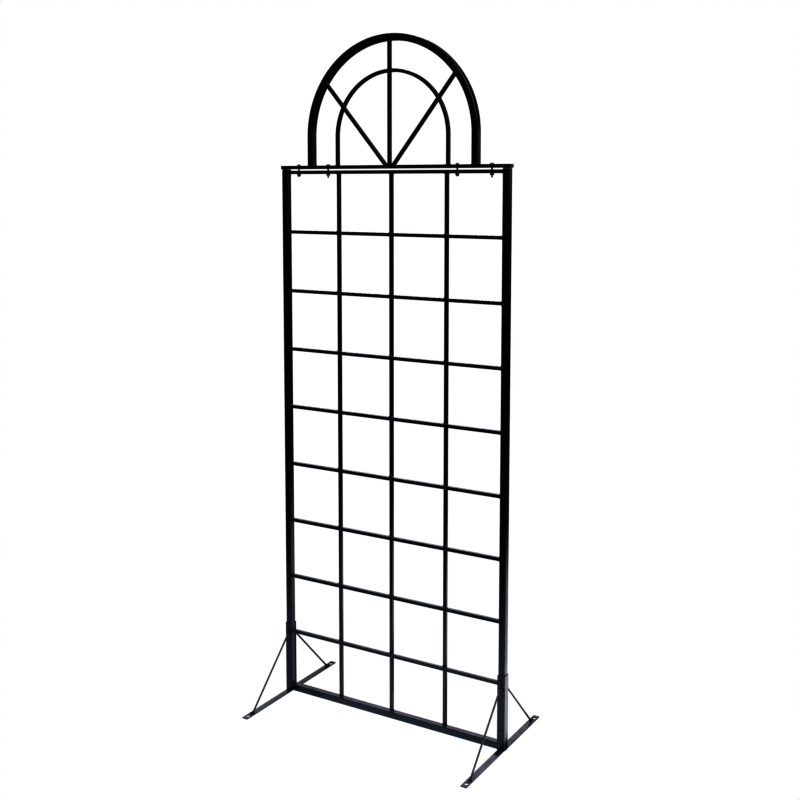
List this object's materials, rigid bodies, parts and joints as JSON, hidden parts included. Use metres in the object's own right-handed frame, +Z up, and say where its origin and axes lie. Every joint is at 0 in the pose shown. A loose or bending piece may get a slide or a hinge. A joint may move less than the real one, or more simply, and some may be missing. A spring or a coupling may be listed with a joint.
{
  "type": "garden trellis panel",
  "caption": "Free-standing square-meshed steel garden trellis on cross feet, with a bolted-on arched topper.",
  "frame": {"origin": "on the ground, midway between the two feet, under the middle of the panel", "axes": "+Z up, X along the panel from the left post to the right post seen from the front, -Y the front, where the sleeve screws are"},
  "size_m": [0.7434, 0.452, 1.9543],
  "materials": {
    "black_coat": "satin black powder coat with fine orange peel",
    "fastener": "black oxide screws, bolts and nuts"
  },
  "bodies": {
    "root": {"post_left": "black_coat", "post_right": "black_coat", "post_cap_left": "black_coat", "post_cap_right": "black_coat", "bottom_rail": "black_coat", "top_rail": "black_coat", "upright_bar_1": "black_coat", "upright_bar_2": "black_coat", "upright_bar_3": "black_coat", "cross_bar_1": "black_coat", "cross_bar_2": "black_coat", "cross_bar_3": "black_coat", "cross_bar_4": "black_coat", "cross_bar_5": "black_coat", "cross_bar_6": "black_coat", "cross_bar_7": "black_coat", "cross_bar_8": "black_coat", "base_bar": "black_coat", "outer_arch": "black_coat", "inner_arch": "black_coat", "spoke_left": "black_coat", "spoke_centre": "black_coat", "spoke_right": "black_coat", "round_head_bolt_1": "fastener", "round_head_bolt_2": "fastener", "cap_nut_1": "fastener", "cap_nut_2": "fastener", "wide_head_bolt_1": "fastener", "wide_head_bolt_2": "fastener", "hex_nut_1": "fastener", "hex_nut_2": "fastener", "foot_bar_left": "black_coat", "foot_bar_right": "black_coat", "foot_sleeve_left": "black_coat", "foot_sleeve_right": "black_coat", "brace_front_left": "black_coat", "brace_front_right": "black_coat", "brace_back_left": "black_coat", "brace_back_right": "black_coat", "sleeve_screw_left_1": "fastener", "sleeve_screw_left_2": "fastener", "sleeve_screw_right_1": "fastener", "sleeve_screw_right_2": "fastener"}
  },
  "joints": []
}
